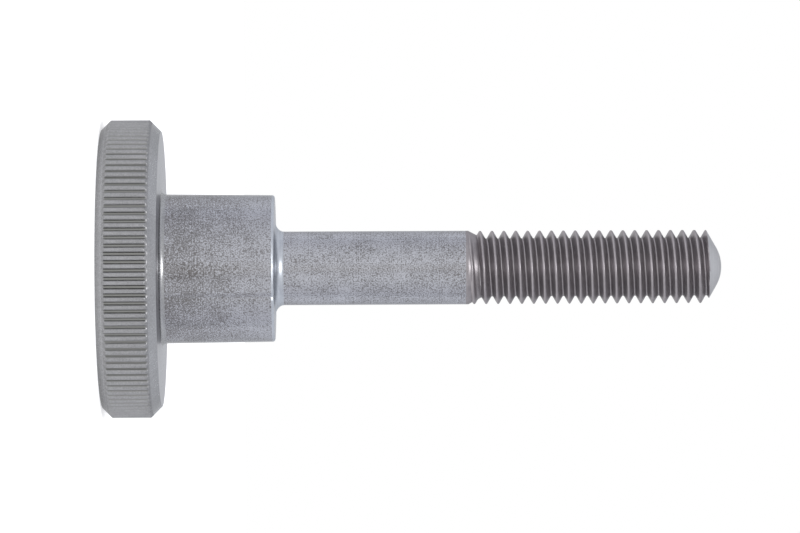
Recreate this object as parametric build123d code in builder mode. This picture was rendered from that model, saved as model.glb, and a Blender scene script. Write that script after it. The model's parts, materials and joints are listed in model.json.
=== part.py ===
"""Knurled thumb screw with a high collar, M5 x 0.8, 30 mm under the collar.

The screw is one turned piece. It stands on the flat top of its head: the origin is the centre
of that face, and +Z runs along the axis to the rounded point. The fine thread is a plain
cylinder over its crests. Lengths are in millimetres and angles in degrees.
"""

import os
from math import cos, pi, radians, sin, tan

from build123d import *

# Head: a straight-knurled disc, chamfered on both sides
head_diameter = 20.0
head_thickness = 4.0
head_top_chamfer = 0.65
head_under_chamfer = 0.75

# Knurl: flat-bottomed grooves, spaced round the rim at about this pitch
knurl_pitch = 0.551
knurl_depth = 0.2
knurl_mouth_width = 0.33
knurl_floor_width = 0.11
knurl_start_angle = -1.08

# Collar: slightly tapered, with a fillet at its root and a broken outer edge
collar_height = 7.6
collar_root_diameter = 10.05
collar_end_diameter = 9.85
collar_root_fillet = 0.35
collar_edge_round = 0.18

# Plain shank, and the length of shank and thread together
length_under_collar = 30.0
shank_diameter = 4.95

# The shank's root fillet is a quarter of an ellipse, wider across the collar's end than along the shank
shank_fillet_width = 0.85
shank_fillet_length = 0.6

# Thread: its crests lie just below the shank's surface, which the run-out joins to them
thread_length = 16.0
thread_runout_length = 1.02
thread_below_shank = 0.01

# Point: a shallow cone with a rounded tip
point_cone_angle = 30.0
point_tip_radius = 2.6

# How far the knurling tool reaches past the rim
overlap = 0.05

# Radii, and places along the axis
head_radius = head_diameter / 2
shank_radius = shank_diameter / 2
crest_radius = shank_radius - thread_below_shank
collar_end = head_thickness + collar_height
fillet_centre_radius = shank_radius + shank_fillet_width
fillet_centre_height = collar_end + shank_fillet_length
screw_end = collar_end + length_under_collar
full_thread_start = screw_end - thread_length
tip_angle = radians(point_cone_angle)
tip_edge_radius = point_tip_radius * sin(tip_angle)
tip_edge_height = screw_end - point_tip_radius * (1 - cos(tip_angle))
cone_base_height = tip_edge_height - (crest_radius - tip_edge_radius) * tan(tip_angle)


def ring(part, height, radius):
    """The circular edge of a part nearest to this height and radius."""
    circles = part.edges().filter_by(GeomType.CIRCLE)
    return circles.sort_by(lambda edge: abs(edge.center().Z - height) + abs(edge.radius - radius))[0]


with BuildPart() as thumb_screw:
    # The turned outline, from the head's flat top to the rounded tip
    with BuildSketch(Plane.XZ):
        with BuildLine():
            Polyline(
                (0, screw_end),
                (0, 0),
                (head_radius - head_top_chamfer, 0),
                (head_radius, head_top_chamfer),
                (head_radius, head_thickness - head_under_chamfer),
                (head_radius - head_under_chamfer, head_thickness),
                (collar_root_diameter / 2, head_thickness),
                (collar_end_diameter / 2, collar_end),
                (fillet_centre_radius, collar_end),
            )
            EllipticalCenterArc(
                (fillet_centre_radius, fillet_centre_height),
                shank_fillet_width,
                shank_fillet_length,
                start_angle=180,
                arc_size=90,
            )
            Polyline(
                (shank_radius, fillet_centre_height),
                (shank_radius, full_thread_start - thread_runout_length),
                (crest_radius, full_thread_start),
                (crest_radius, cone_base_height),
                (tip_edge_radius, tip_edge_height),
            )
            RadiusArc((0, screw_end), (tip_edge_radius, tip_edge_height), point_tip_radius)
        make_face()
    revolve(axis=Axis.Z)

    # The fillet at the collar's root, and the broken edge at its end
    fillet(ring(thumb_screw.part, head_thickness, collar_root_diameter / 2), collar_root_fillet)
    fillet(ring(thumb_screw.part, collar_end, collar_end_diameter / 2), collar_edge_round)

    # The knurl: grooves along the head's rim, open at both chamfers
    knurl_count = round(pi * head_diameter / knurl_pitch)
    wall_slope = (knurl_mouth_width - knurl_floor_width) / 2 / knurl_depth
    tool_half_width = knurl_mouth_width / 2 + overlap * wall_slope
    with BuildSketch(Plane.XY):
        with PolarLocations(head_radius, knurl_count, start_angle=knurl_start_angle):
            Polygon(
                (overlap, -tool_half_width),
                (overlap, tool_half_width),
                (-knurl_depth, knurl_floor_width / 2),
                (-knurl_depth, -knurl_floor_width / 2),
                align=None,
            )
    extrude(amount=head_thickness, mode=Mode.SUBTRACT)

thumb_screw.part.label = "thumb_screw"
os.makedirs("parts", exist_ok=True)
export_step(thumb_screw.part, "parts/thumb_screw.step")
print("knurl grooves", knurl_count, "volume", round(thumb_screw.part.volume, 1))
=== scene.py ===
# %% [markdown]
# # A knurled thumb screw
#
# A thumb screw is turned by hand. Its wide, thin head has fine straight grooves, the knurl,
# that give the fingers a grip; below it come a high collar, a plain shank and a thread. This
# one is turned from one steel bar, so it is one piece and one mesh here too.
#
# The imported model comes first. It fixes where the screw stands and how large it is, and
# everything below is worked out from it.

# %% Load the frame
import json
from math import cos, pi, radians, sin, tan

import bpy
import numpy as np
from mathutils import Matrix, Vector


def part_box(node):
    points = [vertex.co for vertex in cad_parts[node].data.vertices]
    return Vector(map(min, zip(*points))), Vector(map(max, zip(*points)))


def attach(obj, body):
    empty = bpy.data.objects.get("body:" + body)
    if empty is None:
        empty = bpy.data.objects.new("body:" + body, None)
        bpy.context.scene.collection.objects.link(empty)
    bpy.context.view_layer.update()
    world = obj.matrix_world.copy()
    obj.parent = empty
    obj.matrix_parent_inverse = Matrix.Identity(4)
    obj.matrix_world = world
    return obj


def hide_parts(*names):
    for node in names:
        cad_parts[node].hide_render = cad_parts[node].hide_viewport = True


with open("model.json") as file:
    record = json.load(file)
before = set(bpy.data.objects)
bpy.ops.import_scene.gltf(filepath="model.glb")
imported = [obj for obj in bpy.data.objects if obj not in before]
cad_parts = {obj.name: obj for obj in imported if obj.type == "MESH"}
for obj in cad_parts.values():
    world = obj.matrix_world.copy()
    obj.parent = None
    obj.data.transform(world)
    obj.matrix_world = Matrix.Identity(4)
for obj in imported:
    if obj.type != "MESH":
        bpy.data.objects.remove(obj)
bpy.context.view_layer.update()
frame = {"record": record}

# %% [markdown]
# ## The sizes
#
# The overall sizes are read from the frame: the head's diameter and the length from the box,
# and the collar's end, the shank and the thread's start from the mounts in the record. The
# small turned features have names of their own. Blender works in metres, so every size in
# millimetres is multiplied by `mm`.

# %% Sizes from the frame
mm = 0.001
mounts = {mount["name"]: mount for mount in frame["record"]["mounts"]}
low_corner, high_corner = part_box("thumb_screw")
head_radius = (high_corner.x - low_corner.x) / 2
screw_end = high_corner.z
collar_end = mounts["collar_bearing_face"]["pos_m"][2]
shank_radius = mounts["shank"]["dims"]["r_mm"] * mm
full_thread_start = mounts["thread"]["pos_m"][2]
print(f"head {2 * head_radius / mm:.2f} mm across, screw {screw_end / mm:.2f} mm long")

# %% Sizes of the turned features
head_thickness = 4.0 * mm
top_chamfer = 0.65 * mm
under_chamfer = 0.75 * mm
collar_root_radius = 5.025 * mm
collar_end_radius = 4.925 * mm
collar_root_fillet = 0.35 * mm
collar_edge_round = 0.18 * mm
shank_fillet_width = 0.85 * mm
shank_fillet_length = 0.6 * mm
broken_edge = 0.05 * mm

knurl_teeth = 114
knurl_start = radians(-1.08)
knurl_depth = 0.2 * mm
knurl_mouth = 0.33 * mm
knurl_floor = 0.11 * mm

thread_pitch = 0.8 * mm
thread_half_angle = radians(30)
thread_crest_flat = 0.1 * mm
thread_below_shank = 0.01 * mm
thread_crest_at_x = 24.99 * mm
runout_slope = tan(radians(27.5))
smooth_margin = 0.18 * mm

point_cone_angle = radians(30)
point_tip_radius = 2.6 * mm
point_overlap = 0.05 * mm

# %% [markdown]
# ## The way the mesh is made
#
# A turned part is an outline spun round an axis. Blender's Screw modifier could spin it, but
# here the head needs grooves, and the thread climbs as it turns. So the mesh is built from
# rings of vertices. A ring may have its own radius at each vertex, which cuts the grooves,
# and two neighbouring rings may differ in count, which saves triangles on the slim parts.
#
# Every face remembers the name of its finish, and the finish becomes its material later.

# %% Rings and bands
points, faces, finishes = [], [], []
groove_share = {}


def add_ring(radii, height, angles):
    """Adds a ring of vertices, one at each angle, and returns their numbers."""
    first = len(points)
    for radius, angle in zip(radii, angles):
        points.append((radius * cos(angle), radius * sin(angle), height))
    return list(range(first, len(points)))


def join_rings(lower, upper, finish):
    """Fills the band between two rings. One may have a whole number of times as many vertices."""
    count = min(len(lower), len(upper))
    lower_step, upper_step = len(lower) // count, len(upper) // count
    for i in range(count):
        low_side = [lower[(i * lower_step + k) % len(lower)] for k in range(lower_step + 1)]
        high_side = [upper[(i * upper_step + k) % len(upper)] for k in range(upper_step + 1)]
        faces.append(low_side + high_side[::-1])
        finishes.append(finish)


# %% A rounded corner of an outline
def rounded_corner(before, corner, after, radius, steps):
    """Points of the arc that rounds the corner between two straight lines of an outline."""
    before, corner, after = (np.array(point[:2]) for point in (before, corner, after))
    to_before = (before - corner) / np.linalg.norm(before - corner)
    to_after = (after - corner) / np.linalg.norm(after - corner)
    half_angle = np.arccos(np.dot(to_before, to_after)) / 2
    middle = (to_before + to_after) / np.linalg.norm(to_before + to_after)
    centre = corner + middle * radius / sin(half_angle)
    first_arm = corner + to_before * radius / tan(half_angle) - centre
    last_arm = corner + to_after * radius / tan(half_angle) - centre
    turn = pi - 2 * half_angle
    arc = []
    for i in range(steps + 1):
        share = i / steps
        arm = (sin((1 - share) * turn) * first_arm + sin(share * turn) * last_arm) / sin(turn)
        arc.append(tuple(centre + arm))
    return arc


# %% A quarter of an ellipse
def elliptical_fillet(radius, height, width, length, steps):
    """Points of the fillet between a flat face at this height and a cylinder of this radius."""
    turns = [pi / 2 * i / steps for i in range(steps + 1)]
    return [(radius + width * (1 - sin(turn)), height + length * (1 - cos(turn))) for turn in turns]


# %% [markdown]
# ## The outline
#
# The outline runs from the flat top of the head, on which the screw stands, round the rim,
# in along the head's underside, up the collar and on to the plain shank. Each corner has a
# rounding, because a turned edge is never perfectly sharp and its small round is what catches
# the light. Each stretch carries the finish that the tool left there, except the collar's edge and
# the shank's fillet, which carry a painted highlight.

# %% Corners: radius, height, rounding, steps, finish of the corner, finish of the stretch after it
face_edge_radius = 0.9 * head_radius
shank_fillet = elliptical_fillet(shank_radius, collar_end, shank_fillet_width, shank_fillet_length, 14)
outline_corners = [
    (face_edge_radius, 0, 0, 0, "faced", "faced"),
    (head_radius - top_chamfer, 0, broken_edge, 2, "turned", "turned"),
    (head_radius, top_chamfer, broken_edge, 2, "turned", "knurled"),
    (head_radius, head_thickness - under_chamfer, broken_edge, 2, "turned", "turned"),
    (head_radius - under_chamfer, head_thickness, broken_edge, 3, "turned", "faced"),
    (collar_root_radius, head_thickness, collar_root_fillet, 10, "turned", "mottled"),
    # The collar's edge round and the shank's fillet get a lighter, bluer colour: a painted highlight.
    (collar_end_radius, collar_end, collar_edge_round, 8, "burnished", "faced"),
    *[(radius, height, 0, 0, "burnished", "burnished") for radius, height in shank_fillet[:-1]],
    (shank_radius, collar_end + shank_fillet_length, 0, 0, "mottled", "mottled"),
    (shank_radius, full_thread_start - 2 * thread_pitch, 0, 0, "mottled", "mottled"),
]


def outline_from(corners):
    """The outline's points as (radius, height, finish of the band after the point)."""
    outline = []
    for i, (radius, height, rounding, steps, own, following) in enumerate(corners):
        if rounding == 0:
            outline.append((radius, height, following))
            continue
        arc = rounded_corner(corners[i - 1], corners[i], corners[i + 1], rounding, steps)
        outline += [(r, z, own) for r, z in arc[:-1]] + [(*arc[-1], following)]
    return outline


outline = outline_from(outline_corners)
print(len(outline), "points in the outline")

# %% [markdown]
# ## The knurl
#
# The grooves are pressed into the rim by a toothed wheel. They are wider than the crests
# between them, flat at the bottom, and run out on the two chamfers. Eight vertices draw each
# tooth: one on the crest, two on each of its rounded shoulders, and three on the floor.
# A pressed knurl is never quite even, so each groove's depth varies a little.

# %% Angles and depths of the knurl's vertices
random = np.random.default_rng(11)
tooth_width = 2 * pi * head_radius / knurl_teeth
shoulder = (tooth_width - knurl_mouth) / 2
floor_edge = (tooth_width - knurl_floor) / 2
half_tooth = [0, 0.72 * shoulder, 1.12 * shoulder, 0.96 * floor_edge, tooth_width / 2]
half_depth = [0, 0.03, 0.17, 0.93, 1.0]
tooth_offsets = half_tooth + [tooth_width - offset for offset in half_tooth[3:0:-1]]
tooth_depths = half_depth + half_depth[3:0:-1]

head_angles, groove_depths = [], []
for tooth in range(knurl_teeth):
    middle = knurl_start + (tooth + 0.5) * 2 * pi / knurl_teeth
    unevenness = 1 - 0.12 * random.random()
    for offset, depth in zip(tooth_offsets, tooth_depths):
        head_angles.append(middle + offset / head_radius)
        groove_depths.append(depth * knurl_depth * unevenness)
groove_radii = head_radius - np.array(groove_depths)
collar_angles, slim_angles = head_angles[::2], head_angles[::8]
print(len(head_angles), "vertices round the head,", len(slim_angles), "round the shank")

# %% Extra outline points where the grooves run out on the chamfers
floor_radius = head_radius - 1.05 * knurl_depth


def with_runout_points(outline, steps=7):
    """Adds rings on both chamfers where the grooves' floors come up to the surface."""
    fuller = []
    for (r0, z0, finish), (r1, z1, _) in zip(outline, outline[1:] + [outline[-1]]):
        fuller.append((r0, z0, finish))
        if finish == "turned" and abs(r1 - r0) > knurl_depth and z0 < head_thickness:
            shares = sorted((floor_radius + (head_radius - floor_radius) * k / steps - r0) / (r1 - r0)
                            for k in range(steps))
            fuller += [(r0 + (r1 - r0) * s, z0 + (z1 - z0) * s, finish) for s in shares if 0 < s < 1]
    return fuller


outline = with_runout_points(outline)
print(len(outline), "points with the knurl's ends")

# %% [markdown]
# ## The head, collar and shank
#
# Each outline point becomes a ring. Round the head, a vertex stays on the outline unless its
# groove is cut deeper there. On the flat faces the count of vertices drops, first to half for
# the collar and then to an eighth for the shank: a flat face hides such a change.

# %% Rings of the turned body
fan_radius = 0.88 * head_radius
halving_radius = 0.87 * head_radius
collar_face_edge = 0.9 * collar_end_radius
slimming_radius = 0.88 * collar_end_radius


def body_finish(finish, *rings_cut):
    """A band is knurled where either of its rings is cut by the grooves."""
    return "knurled" if any(rings_cut) and finish == "turned" else finish


def add_body():
    """Builds the head, collar and shank, and returns the shank's last ring."""
    pole = len(points)
    points.append((0, 0, 0))
    ring = add_ring([fan_radius] * len(slim_angles), 0, slim_angles)
    for i in range(len(ring)):
        faces.append([ring[i], ring[(i + 1) % len(ring)], pole])
        finishes.append("faced")
    band, was_cut, angles = "faced", False, head_angles
    for radius, height, finish in outline:
        if height >= head_thickness and radius < face_edge_radius and angles is head_angles:
            inner = add_ring([halving_radius] * len(collar_angles), head_thickness, collar_angles)
            join_rings(ring, inner, "faced")
            ring, angles = inner, collar_angles
        if height >= collar_end and radius < collar_face_edge and angles is collar_angles:
            inner = add_ring([slimming_radius] * len(slim_angles), collar_end, slim_angles)
            join_rings(ring, inner, "faced")
            ring, angles = inner, slim_angles
        radii = np.full(len(angles), radius)
        if angles is head_angles:
            radii = np.minimum(radii, groove_radii)
        is_cut = bool((radii < radius - 1e-9).any())
        upper = add_ring(radii, height, angles)
        groove_share.update(zip(upper, (radius - radii) / knurl_depth))
        join_rings(ring, upper, body_finish(band, is_cut, was_cut))
        ring, band, was_cut = upper, finish, is_cut
    return ring


shank_ring = add_body()
print(len(points), "vertices and", len(faces), "faces in the head, collar and shank")

# %% [markdown]
# ## The thread
#
# A thread's crest climbs by one pitch each turn, so rows of vertices that follow the helix
# draw it cleanly, where level rings would cut across it in steps. The rows start in the shank
# and are clamped to its last ring, and they end in the same way below the point.
#
# The radius comes from three shapes. The thread's own section has straight flanks at 60
# degrees to each other, with rounded crests and roots. The run-out is a cone left by the
# die's lead: outside it nothing was cut. The point is turned last, so it takes off whatever
# stands above it.

# %% Radii of the thread, the run-out and the point
flank_height = thread_pitch / 2 - thread_crest_flat
crest_radius = shank_radius - thread_below_shank
root_radius = crest_radius - flank_height / tan(thread_half_angle)
crest_truncation = thread_crest_flat / 2 / tan(thread_half_angle)
sharp_radius = crest_radius + crest_truncation
crest_rounding = root_rounding = crest_truncation / (1 / sin(thread_half_angle) - 1)
rounded_reach = crest_rounding * cos(thread_half_angle)
runout_start = full_thread_start - (shank_radius - root_radius) / runout_slope
smooth_start = runout_start - smooth_margin

tip_edge_radius = point_tip_radius * sin(point_cone_angle)
tip_edge_height = screw_end - point_tip_radius * (1 - cos(point_cone_angle))


def thread_radius(from_crest):
    """Radius of the thread at a distance along the axis from the nearest crest's middle."""
    from_root = thread_pitch / 2 - from_crest
    if from_crest < rounded_reach:
        return crest_radius - crest_rounding + (crest_rounding ** 2 - from_crest ** 2) ** 0.5
    if from_root < rounded_reach:
        return root_radius + root_rounding - (root_rounding ** 2 - from_root ** 2) ** 0.5
    return sharp_radius - from_crest / tan(thread_half_angle)


def blank_radius(height):
    """Radius of the shank and the run-out's cone, inside which no thread is cut."""
    return shank_radius - max(0, height - runout_start) * runout_slope


def point_radius(height):
    """Radius of the point, a shallow cone, below its rounded tip."""
    return tip_edge_radius + (tip_edge_height - height) / tan(point_cone_angle)


print(f"thread {2 * crest_radius / mm:.2f} mm over crests, {2 * root_radius / mm:.2f} mm over roots")

# %% Rows of the thread
half_rows = [0, 0.03, 0.055, 0.075, 0.14, 0.2, 0.26, 0.325, 0.345, 0.37, 0.4]
row_offsets = [offset * mm for offset in half_rows]
row_offsets += [thread_pitch - offset for offset in row_offsets[-2:0:-1]]


def add_thread(first_ring, start, end):
    """Builds the helical rows between two heights, from a given ring, and returns the last ring."""
    count, per_turn = len(slim_angles), len(row_offsets)
    last_ring = add_ring([point_radius(end)] * count, end, slim_angles)
    turns_below = int((thread_crest_at_x - start) / thread_pitch) + 2
    lowest_crest = thread_crest_at_x - turns_below * thread_pitch
    turns = int((end - lowest_crest) / thread_pitch) + 2
    numbers, on_point = {}, set(last_ring)
    for row in range(turns * per_turn):
        turn, place = divmod(row, per_turn)
        from_crest = min(row_offsets[place], thread_pitch - row_offsets[place])
        for column, angle in enumerate(slim_angles):
            height = lowest_crest + (turn + angle / (2 * pi)) * thread_pitch + row_offsets[place]
            if height <= start or height >= end:
                numbers[row, column] = (first_ring if height <= start else last_ring)[column]
                continue
            radius = max(thread_radius(from_crest), blank_radius(height))
            if point_radius(height) < radius:
                radius = point_radius(height)
                on_point.add(len(points))
            numbers[row, column] = len(points)
            points.append((radius * cos(angle), radius * sin(angle), height))
    for row in range((turns - 1) * per_turn - 1):
        for column in range(count):
            over, up = (column + 1, 0) if column + 1 < count else (0, per_turn)
            corners = [numbers[row, column], numbers[row + up, over],
                       numbers[row + up + 1, over], numbers[row + 1, column]]
            corners = list(dict.fromkeys(corners))
            if len(corners) < 3:
                continue
            faces.append(corners)
            height = sum(points[corner][2] for corner in corners) / len(corners)
            if sum(corner in on_point for corner in corners) > len(corners) / 2:
                finishes.append("tip")
            else:
                finishes.append("mottled" if height < smooth_start else "threaded")
    return last_ring


thread_top = tip_edge_height - (root_radius - tip_edge_radius) * tan(point_cone_angle) + point_overlap
tip_ring = add_thread(shank_ring, outline[-1][1], thread_top)
print(len(faces), "faces with the thread")

# %% The tip
def add_tip(ring):
    """Closes the point with rings up a spherical cap."""
    for angle in np.linspace(point_cone_angle, 0, 10)[:-1]:
        height = screw_end - point_tip_radius * (1 - cos(angle))
        upper = add_ring([point_tip_radius * sin(angle)] * len(slim_angles), height, slim_angles)
        join_rings(ring, upper, "tip")
        ring = upper
    pole = len(points)
    points.append((0, 0, screw_end))
    for i in range(len(ring)):
        faces.append([ring[i], ring[(i + 1) % len(ring)], pole])
        finishes.append("tip")


add_tip(tip_ring)

# %% [markdown]
# ## The small dent
#
# The outer edge of the collar has one small dent, where something hard knocked it. It is a
# smooth push inwards that fades with distance, so it moves the few vertices near it and
# leaves the rest alone.

# %% Dent the collar's edge
dent_angle = radians(-67.3)
dent_reach = 0.2 * mm
dent_depth = 0.1 * mm
dent_setback = 0.4 * collar_edge_round
dent_lean = 0.5
dent_middle = np.array((collar_end_radius * cos(dent_angle), collar_end_radius * sin(dent_angle),
                        collar_end - dent_setback))
co = np.array(points)
distance = np.linalg.norm(co - dent_middle, axis=1)
push = dent_depth * np.exp(-(distance / dent_reach) ** 2)
push[distance > 3 * dent_reach] = 0
inward = np.array((-cos(dent_angle), -sin(dent_angle), -dent_lean))
co += push[:, None] * inward
print(int((push > 0).sum()), "vertices moved by the dent")

# %% [markdown]
# ## One mesh
#
# The vertices and faces become one closed mesh. Its finishes become material slots, and the
# edges that turn by more than 40 degrees stay sharp when the mesh is shaded smooth. The mesh
# also keeps how deep each vertex lies in the knurl, from 0 on a crest to 1 on a groove's
# floor, so that a material can tell the two apart and paint shade on the floors.

# %% Build the mesh
finish_names = ["faced", "turned", "burnished", "knurled", "mottled", "threaded", "tip"]
mesh = bpy.data.meshes.new("thumb_screw_steel")
mesh.from_pydata(co.tolist(), [], faces)
mesh.validate()
mesh.polygons.foreach_set("material_index", [finish_names.index(name) for name in finishes])
mesh.polygons.foreach_set("use_smooth", [True] * len(mesh.polygons))
mesh.set_sharp_from_angle(angle=radians(40))
groove = mesh.attributes.new("groove", "FLOAT", "POINT")
groove.data.foreach_set("value", [groove_share.get(number, 0.0) for number in range(len(points))])
screw = bpy.data.objects.new("thumb_screw_steel", mesh)
bpy.context.scene.collection.objects.link(screw)
mesh.calc_loop_triangles()
print(len(mesh.loop_triangles), "triangles")

# %% [markdown]
# ## The finishes
#
# Bare steel is a metal shader: its colour is the colour of its reflections. What tells the
# surfaces apart is mostly how the tool left them, and a few also carry painted shade and painted
# highlight. Effects that several finishes share are node groups, and each finish sets its own values on
# them.

# %% Helpers for node trees
def new_node(tree, kind, **settings):
    """Adds a node. Settings are its properties, or its input values by number after 'in'."""
    node = tree.nodes.new(kind)
    for name, value in settings.items():
        if name.startswith("in") and name[2:].isdigit():
            node.inputs[int(name[2:])].default_value = value
        else:
            setattr(node, name, value)
    return node


def new_group(name, inputs, outputs):
    """A node group with named float inputs (name: default) and outputs, and its two end nodes."""
    group = bpy.data.node_groups.new(name, "ShaderNodeTree")
    for label, default in inputs.items():
        socket = group.interface.new_socket(label, in_out="INPUT", socket_type="NodeSocketFloat")
        socket.default_value = default
    for label in outputs:
        group.interface.new_socket(label, in_out="OUTPUT", socket_type="NodeSocketFloat")
    return group, group.nodes.new("NodeGroupInput"), group.nodes.new("NodeGroupOutput")


def sum_of(tree, *sockets):
    """Adds up value sockets."""
    total = sockets[0]
    for socket in sockets[1:]:
        add = new_node(tree, "ShaderNodeMath", operation="ADD")
        tree.links.new(total, add.inputs[0])
        tree.links.new(socket, add.inputs[1])
        total = add.outputs[0]
    return total


# %% Effect: speckle, the mottle of a drawn bar
def make_speckle():
    """Fine grains gathered in cloudy patches; 0.5 on average."""
    group, inputs, outputs = new_group(
        "speckle", {"Grain Size": 0.1, "Patch Size": 1.2, "Grain": 1.0, "Patches": 0.5}, ["Value"])
    place = new_node(group, "ShaderNodeTexCoord")
    parts = []
    for size, share, detail in (("Grain Size", "Grain", 1.0), ("Patch Size", "Patches", 3.0)):
        scale = new_node(group, "ShaderNodeMath", operation="DIVIDE", in0=1 / mm)
        group.links.new(inputs.outputs[size], scale.inputs[1])
        noise = new_node(group, "ShaderNodeTexNoise")
        noise.inputs["Detail"].default_value = detail
        group.links.new(place.outputs["Object"], noise.inputs["Vector"])
        group.links.new(scale.outputs[0], noise.inputs["Scale"])
        centred = new_node(group, "ShaderNodeMath", operation="SUBTRACT", in1=0.5)
        group.links.new(noise.outputs["Fac"], centred.inputs[0])
        part = new_node(group, "ShaderNodeMath", operation="MULTIPLY")
        group.links.new(centred.outputs[0], part.inputs[0])
        group.links.new(inputs.outputs[share], part.inputs[1])
        parts.append(part.outputs[0])
    middle = new_node(group, "ShaderNodeMath", operation="ADD", in1=0.5)
    group.links.new(sum_of(group, *parts), middle.inputs[0])
    group.links.new(middle.outputs[0], outputs.inputs["Value"])
    return group


# %% Effect: turning marks, the tool's fine rings round the axis
def make_turning_marks():
    """Rings round the axis. Height plus radius changes along walls and flat faces."""
    group, inputs, outputs = new_group("turning_marks", {"Spacing": 0.1, "Wander": 0.4}, ["Value"])
    place = new_node(group, "ShaderNodeTexCoord")
    split = new_node(group, "ShaderNodeSeparateXYZ")
    group.links.new(place.outputs["Object"], split.inputs[0])
    flat = new_node(group, "ShaderNodeCombineXYZ")
    group.links.new(split.outputs["X"], flat.inputs["X"])
    group.links.new(split.outputs["Y"], flat.inputs["Y"])
    radius = new_node(group, "ShaderNodeVectorMath", operation="LENGTH")
    group.links.new(flat.outputs[0], radius.inputs[0])
    along = sum_of(group, split.outputs["Z"], radius.outputs["Value"])
    scale = new_node(group, "ShaderNodeMath", operation="DIVIDE", in0=1 / mm)
    group.links.new(inputs.outputs["Spacing"], scale.inputs[1])
    rings = new_node(group, "ShaderNodeTexNoise", noise_dimensions="1D")
    rings.inputs["Detail"].default_value = 2.0
    group.links.new(along, rings.inputs["W"])
    group.links.new(scale.outputs[0], rings.inputs["Scale"])
    wander = new_node(group, "ShaderNodeTexNoise")
    wander.inputs["Scale"].default_value = 1 / mm
    group.links.new(place.outputs["Object"], wander.inputs["Vector"])
    blend = new_node(group, "ShaderNodeMix", data_type="FLOAT")
    group.links.new(inputs.outputs["Wander"], blend.inputs[0])
    group.links.new(rings.outputs["Fac"], blend.inputs[2])
    group.links.new(wander.outputs["Fac"], blend.inputs[3])
    group.links.new(blend.outputs[0], outputs.inputs["Value"])
    return group


speckle, turning_marks = make_speckle(), make_turning_marks()
print("effects:", speckle.name, "and", turning_marks.name)


# %% Effect: along the axis, for what changes from one end of a surface to the other
def make_along_axis():
    """0 at one height of the screw and 1 at another, with soft ends."""
    group, inputs, outputs = new_group("along_axis", {"Start": 0.0, "End": 1.0}, ["Value"])
    place = new_node(group, "ShaderNodeTexCoord")
    split = new_node(group, "ShaderNodeSeparateXYZ")
    group.links.new(place.outputs["Object"], split.inputs[0])
    millimetres = new_node(group, "ShaderNodeMath", operation="MULTIPLY", in1=1 / mm)
    group.links.new(split.outputs["Z"], millimetres.inputs[0])
    share = new_node(group, "ShaderNodeMapRange", interpolation_type="SMOOTHSTEP")
    group.links.new(millimetres.outputs[0], share.inputs[0])
    group.links.new(inputs.outputs["Start"], share.inputs[1])
    group.links.new(inputs.outputs["End"], share.inputs[2])
    group.links.new(share.outputs[0], outputs.inputs["Value"])
    return group


along_axis = make_along_axis()


# %% A steel finish
def steel(name, dark, light, roughness, relief, grain, marks, marks_share, spread, edge=0.6,
          fade=None, groove_shade=None):
    """Metal whose colour and roughness run between two values by grain and turning marks.

    A fade (start and end in mm, change) makes it lighter along the axis, which paints shade at its
    start. A groove shade is a darker colour painted on the floors of the knurl as painted shade.
    """
    material = bpy.data.materials.new(name)
    material.use_nodes = True
    tree = material.node_tree
    shader = tree.nodes["Principled BSDF"]
    shader.inputs["Metallic"].default_value = 1.0
    shader.inputs["Specular Tint"].default_value = (edge, edge, edge, 1)

    def effect(group, values):
        node = new_node(tree, "ShaderNodeGroup", node_tree=group)
        for label, value in values.items():
            node.inputs[label].default_value = value
        return node.outputs["Value"]

    mix = new_node(tree, "ShaderNodeMix", data_type="FLOAT", in0=marks_share)
    tree.links.new(effect(speckle, grain), mix.inputs[2])
    tree.links.new(effect(turning_marks, marks), mix.inputs[3])
    tone = mix.outputs[0]
    # Painted shade: darker at the fade's start and lighter at its end.
    if fade:
        change = new_node(tree, "ShaderNodeMath", operation="MULTIPLY_ADD", in1=fade[2], in2=-fade[2] / 2)
        tree.links.new(effect(along_axis, {"Start": fade[0], "End": fade[1]}), change.inputs[0])
        tone = sum_of(tree, tone, change.outputs[0])
    range_of_tone = new_node(tree, "ShaderNodeMapRange", in1=spread[0], in2=spread[1])
    tree.links.new(tone, range_of_tone.inputs[0])
    colour = new_node(tree, "ShaderNodeMix", data_type="RGBA", in6=(*dark, 1), in7=(*light, 1))
    tree.links.new(range_of_tone.outputs[0], colour.inputs[0])
    # Painted shade: towards the groove floors the colour goes to the darker colour given for the grooves.
    if groove_shade:
        depth = new_node(tree, "ShaderNodeAttribute", attribute_name="groove")
        floor_share = new_node(tree, "ShaderNodeMapRange", interpolation_type="SMOOTHSTEP",
                               in1=0.2, in2=1.0)
        tree.links.new(depth.outputs["Fac"], floor_share.inputs[0])
        crest_colour = colour.outputs[2]
        colour = new_node(tree, "ShaderNodeMix", data_type="RGBA", in7=(*groove_shade, 1))
        tree.links.new(floor_share.outputs[0], colour.inputs[0])
        tree.links.new(crest_colour, colour.inputs[6])
    tree.links.new(colour.outputs[2], shader.inputs["Base Color"])
    rough = new_node(tree, "ShaderNodeMapRange", in3=roughness[0], in4=roughness[1])
    tree.links.new(range_of_tone.outputs[0], rough.inputs[0])
    tree.links.new(rough.outputs[0], shader.inputs["Roughness"])
    bump = new_node(tree, "ShaderNodeBump")
    bump.inputs["Strength"].default_value = 1.0
    bump.inputs["Distance"].default_value = relief * mm
    tree.links.new(mix.outputs[0], bump.inputs["Height"])
    tree.links.new(bump.outputs["Normal"], shader.inputs["Normal"])
    return material
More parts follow.
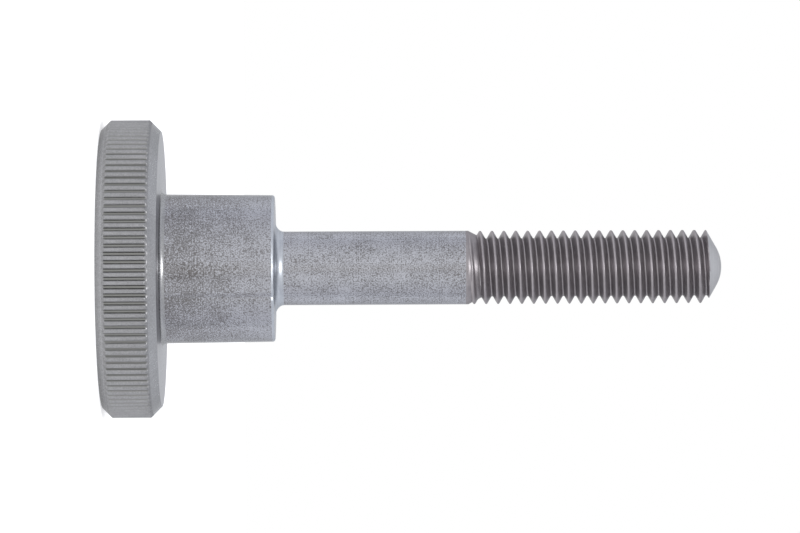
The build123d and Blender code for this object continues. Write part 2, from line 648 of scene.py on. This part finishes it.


# %% [markdown]
# The collar and the shank keep the mottled skin of the drawn bar. Painted shade makes the collar
# a little darker towards the head. The chamfers and the flat faces were cut last and are smoother.
# The collar's edge and the shank's fillet have a lighter, bluer colour as a painted highlight,
# which makes them the brightest. The knurl was pressed, and its grooves' floors are painted darker
# than its crests as painted shade. The thread's flanks look dark because they reflect each other before
# they reflect the room.

# %% The seven finishes
finish_looks = {
    "faced": steel(
        "faced_steel", dark=(0.36, 0.36, 0.375), light=(0.45, 0.455, 0.48), roughness=(0.26, 0.36),
        relief=0.003, grain={"Grain Size": 0.3, "Patch Size": 2.0},
        marks={"Spacing": 0.12, "Wander": 0.2}, marks_share=0.8, spread=(0.3, 0.7), edge=0.65),
    "turned": steel(
        "turned_steel", dark=(0.31, 0.312, 0.32), light=(0.41, 0.412, 0.425), roughness=(0.22, 0.3),
        relief=0.002, grain={"Grain Size": 0.12, "Patch Size": 1.5},
        marks={"Spacing": 0.1, "Wander": 0.3}, marks_share=0.4, spread=(0.3, 0.7)),
    # Painted highlight: a lighter, bluer steel for the collar's edge round and the shank's fillet.
    "burnished": steel(
        "burnished_steel", dark=(0.43, 0.455, 0.50), light=(0.55, 0.575, 0.615), roughness=(0.32, 0.42),
        relief=0.0015, grain={"Grain Size": 0.12, "Patch Size": 1.5},
        marks={"Spacing": 0.1, "Wander": 0.3}, marks_share=0.5, spread=(0.3, 0.7)),
    "knurled": steel(
        "knurled_steel", dark=(0.235, 0.235, 0.24), light=(0.325, 0.325, 0.335), roughness=(0.3, 0.4),
        relief=0.002, grain={"Grain Size": 0.1, "Patch Size": 1.5},
        marks={"Spacing": 0.15, "Wander": 0.5}, marks_share=0.2, spread=(0.3, 0.7),
        # The colour given for the grooves is painted shade on the knurl's floors.
        groove_shade=(0.205, 0.205, 0.195)),
    "mottled": steel(
        "mottled_steel", dark=(0.18, 0.173, 0.175), light=(0.455, 0.462, 0.50), roughness=(0.14, 0.24),
        relief=0.002, grain={"Grain Size": 0.085, "Patch Size": 1.4, "Grain": 1.2, "Patches": 0.3},
        marks={"Spacing": 0.07, "Wander": 0.2}, marks_share=0.25, spread=(0.36, 0.64),
        # The fade paints shade: the collar is darker near the head.
        fade=(3.9, 11.4, 0.12)),
    "threaded": steel(
        "threaded_steel", dark=(0.27, 0.252, 0.262), light=(0.32, 0.30, 0.312), roughness=(0.38, 0.42),
        relief=0.0004, grain={"Grain Size": 0.3, "Patch Size": 1.5},
        marks={"Spacing": 0.1, "Wander": 0.3}, marks_share=0.3, spread=(0.3, 0.7)),
    "tip": steel(
        "tip_steel", dark=(0.42, 0.42, 0.435), light=(0.50, 0.50, 0.515), roughness=(0.28, 0.36),
        relief=0.0008, grain={"Grain Size": 0.2, "Patch Size": 1.5},
        marks={"Spacing": 0.1, "Wander": 0.3}, marks_share=0.6, spread=(0.3, 0.7)),
}
for name in finish_names:
    mesh.materials.append(finish_looks[name])
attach(screw, "root")
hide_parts("thumb_screw")
print("finishes:", ", ".join(finish_names))

# %% [markdown]
# ## The studio
#
# A metal shows what is round it, so the room matters as much as the finish. Here it is a
# tent of white cloth: brightest behind the screw, a little darker at the sides, with a
# narrow gap in front for the camera. The world's colour runs with the angle round the
# screw's axis. A tall, narrow soft lamp above the camera draws the short highlights on the
# fillets.

# %% The tent
world = bpy.data.worlds.new("tent")
bpy.context.scene.world = world
world.use_nodes = True
tree = world.node_tree
sky = tree.nodes["Background"]
direction = new_node(tree, "ShaderNodeTexCoord")
split = new_node(tree, "ShaderNodeSeparateXYZ")
tree.links.new(direction.outputs["Generated"], split.inputs[0])
front = new_node(tree, "ShaderNodeMath", operation="MULTIPLY", in1=-1.0)
tree.links.new(split.outputs["Y"], front.inputs[0])
azimuth = new_node(tree, "ShaderNodeMath", operation="ARCTAN2")
tree.links.new(split.outputs["X"], azimuth.inputs[0])
tree.links.new(front.outputs[0], azimuth.inputs[1])
turn_share = new_node(tree, "ShaderNodeMapRange", in1=-pi, in2=pi)
tree.links.new(azimuth.outputs[0], turn_share.inputs[0])
cloth = new_node(tree, "ShaderNodeValToRGB")
tree.links.new(turn_share.outputs[0], cloth.inputs[0])

cloth_stops = {
    -180: (1.04, 1.06, 1.10), -112: (0.98, 1.00, 1.05), -104: (0.78, 0.80, 0.86),
    -85: (0.78, 0.79, 0.84), -40: (0.93, 0.94, 0.96), -20: (0.90, 0.90, 0.91),
    -17: (1.10, 1.12, 1.15), -14: (1.05, 1.06, 1.08), -11: (0.86, 0.86, 0.86),
    5: (0.88, 0.87, 0.86), 9: (0.76, 0.76, 0.76), 14: (0.80, 0.80, 0.81),
    28: (0.98, 0.99, 1.01), 40: (0.90, 0.91, 0.93), 85: (0.78, 0.79, 0.84),
    98: (0.78, 0.80, 0.85), 106: (0.98, 1.00, 1.05), 180: (1.04, 1.06, 1.10),
}
while len(cloth.color_ramp.elements) < len(cloth_stops):
    cloth.color_ramp.elements.new(0.5)
for stop, (degrees_round, colour) in zip(cloth.color_ramp.elements, sorted(cloth_stops.items())):
    stop.position = (degrees_round + 180) / 360
    stop.color = (*colour, 1)

rays = new_node(tree, "ShaderNodeLightPath")
seen = new_node(tree, "ShaderNodeMix", data_type="RGBA", in7=(1, 1, 1, 1))
tree.links.new(rays.outputs["Is Camera Ray"], seen.inputs[0])
tree.links.new(cloth.outputs["Color"], seen.inputs[6])
tree.links.new(seen.outputs[2], sky.inputs["Color"])
print(len(cloth_stops), "stops of cloth round the tent")

# %% The lamp
screw_middle = Vector((0, 0, screw_end / 2))


def add_softbox(name, azimuth, elevation, distance, width, height, power, colour):
    """A flat lamp that looks at the screw's middle. Azimuth 0 is the camera's side."""
    data = bpy.data.lights.new(name, "AREA")
    data.shape = "RECTANGLE"
    data.size, data.size_y, data.energy, data.color = width, height, power, colour
    lamp = bpy.data.objects.new(name, data)
    aim = Vector((sin(azimuth) * cos(elevation), -cos(azimuth) * cos(elevation), sin(elevation)))
    lamp.location = screw_middle + aim * distance
    lamp.rotation_euler = aim.to_track_quat("Z", "Y").to_euler()
    bpy.context.scene.collection.objects.link(lamp)
    return lamp


key = add_softbox("strip_softbox", radians(-3), radians(46), 0.4, 0.1, 0.28, 0.62, (0.99, 0.99, 1.0))
print("lamp:", key.name)

# %% [markdown]
# The floor is plain and pale. To the camera and in reflections it is white paper, and the
# part of its light that comes from its own shading keeps the screw's soft shadow.

# %% The floor
floor_mesh = bpy.data.meshes.new("floor")
floor_radius = 0.35
rim = [(floor_radius * cos(a), floor_radius * sin(a), 0) for a in np.linspace(0, 2 * pi, 65)[:-1]]
floor_mesh.from_pydata(rim, [], [list(range(len(rim)))])
floor = bpy.data.objects.new("floor", floor_mesh)
bpy.context.scene.collection.objects.link(floor)
paper = bpy.data.materials.new("white_paper")
paper.use_nodes = True
tree = paper.node_tree
shader = tree.nodes["Principled BSDF"]
shader.inputs["Base Color"].default_value = (0.8, 0.8, 0.8, 1)
shader.inputs["Roughness"].default_value = 0.9
shader.inputs["Specular IOR Level"].default_value = 0.1
shader.inputs["Emission Color"].default_value = (1, 1, 1, 1)
rays = new_node(tree, "ShaderNodeLightPath")
bright = new_node(tree, "ShaderNodeMath", operation="MAXIMUM")
tree.links.new(rays.outputs["Is Camera Ray"], bright.inputs[0])
tree.links.new(rays.outputs["Is Glossy Ray"], bright.inputs[1])
glow = new_node(tree, "ShaderNodeMath", operation="MULTIPLY", in1=0.45)
tree.links.new(bright.outputs[0], glow.inputs[0])
tree.links.new(glow.outputs[0], shader.inputs["Emission Strength"])
floor_mesh.materials.append(paper)
print("floor", 2 * floor_radius, "m across")

# %% [markdown]
# ## The camera
#
# The screw stands on its head, but it is looked at as if it lay on its side: the camera looks
# close to its middle from nearly the same height, and is rolled a quarter turn, so that the thread
# points to the right. A long lens from a third of a metre away keeps the perspective slight.

# %% The camera
camera_distance = 0.325
camera_height = 18.4 * mm
camera_side = -0.09 * mm
aim_height = 20.0 * mm
camera_lens = 217.5
axis_rise = radians(0.27)

camera_data = bpy.data.cameras.new("camera")
camera_data.lens = camera_lens
camera_data.clip_start, camera_data.clip_end = 0.01, 10
camera = bpy.data.objects.new("camera", camera_data)
place = Vector((camera_side, -camera_distance, camera_height))
backwards = (place - Vector((camera_side, 0, aim_height))).normalized()
across = Vector((-1, 0, 0))
along = across.cross(backwards)
right = cos(axis_rise) * along - sin(axis_rise) * across
up = sin(axis_rise) * along + cos(axis_rise) * across
camera.matrix_world = Matrix.Translation(place) @ Matrix((right, up, backwards)).transposed().to_4x4()
bpy.context.scene.collection.objects.link(camera)
bpy.context.scene.camera = camera
bpy.context.scene.view_settings.view_transform = "Standard"
print("camera at", [round(1000 * value, 1) for value in camera.location], "mm")
